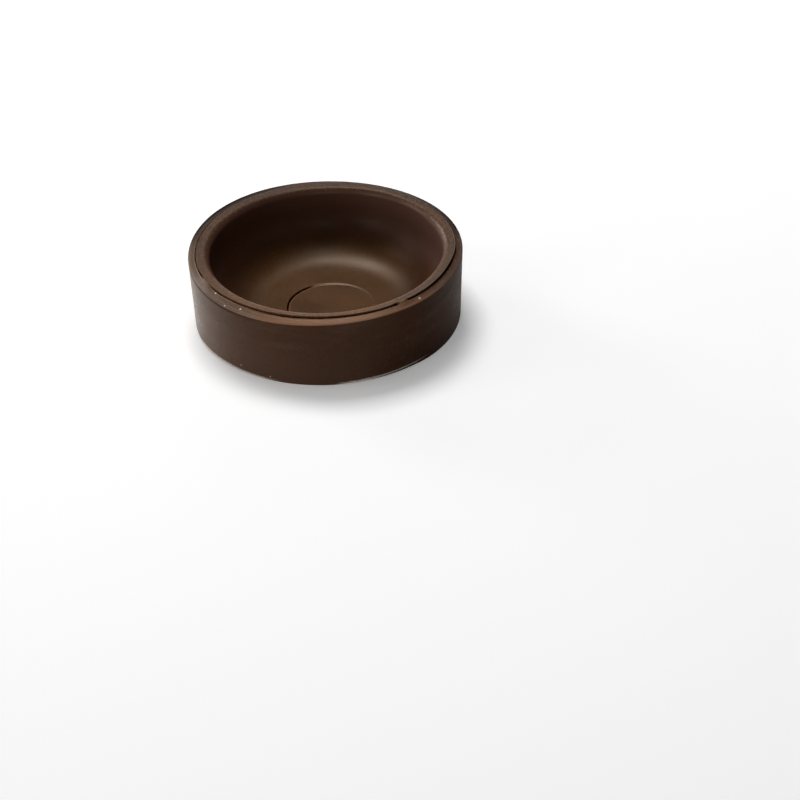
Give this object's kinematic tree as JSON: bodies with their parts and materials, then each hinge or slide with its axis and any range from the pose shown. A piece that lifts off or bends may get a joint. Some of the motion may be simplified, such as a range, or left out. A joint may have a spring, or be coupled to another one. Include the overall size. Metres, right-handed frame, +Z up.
{
  "type": "castor cup",
  "caption": "Round rubber cup with a sloping lip, a parting slit on the rim and a sunk disc in the floor; a castor or furniture foot stands in it so the leg neither rolls nor marks the floor.",
  "frame": {"origin": "centre of the base, on the floor that the cup stands on", "axes": "+Z up along the cup's axis; the picture looks along +Y with +X to the right"},
  "size_m": [0.06, 0.06, 0.0168],
  "materials": {
    "rubber": "matte"
  },
  "bodies": {
    "root": {"castor_cup": "rubber"}
  },
  "joints": []
}
